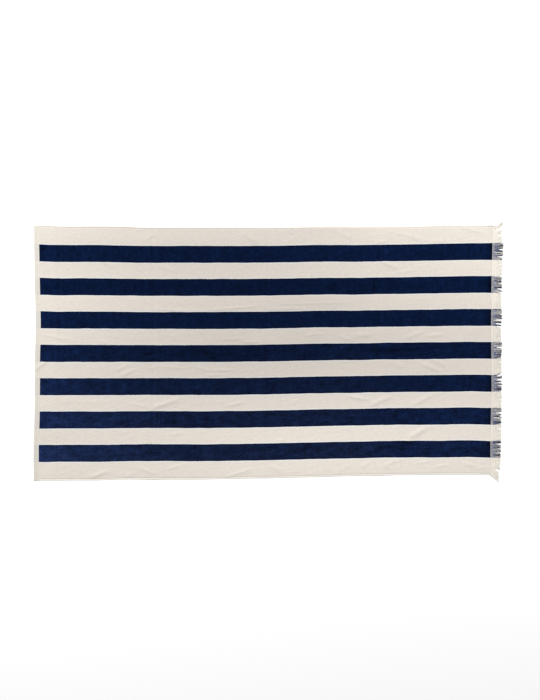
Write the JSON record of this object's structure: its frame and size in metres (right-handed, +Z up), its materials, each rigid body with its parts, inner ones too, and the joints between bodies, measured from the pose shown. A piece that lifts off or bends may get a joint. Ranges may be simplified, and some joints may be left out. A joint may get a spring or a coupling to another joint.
{
  "type": "beach towel",
  "caption": "Large rectangular striped beach towel lying flat, with turned side hems, a hemmed end and a fringed end, for drying off or lying on.",
  "frame": {"origin": "middle of the towel's footprint, on the surface it lies on", "axes": "+X along the towel towards the fringed end, +Y across it, +Z up out of the pile face"},
  "size_m": [1.8317, 1.0122, 0.0076],
  "materials": {
    "striped_pile": "matt sheared cotton pile with navy and cream lengthwise stripes",
    "woven_end": "matt flat-woven cotton and cut warp yarns, grey where navy warp meets cream weft"
  },
  "bodies": {
    "root": {"towel_cloth": "striped_pile", "fringe": "woven_end"}
  },
  "joints": []
}
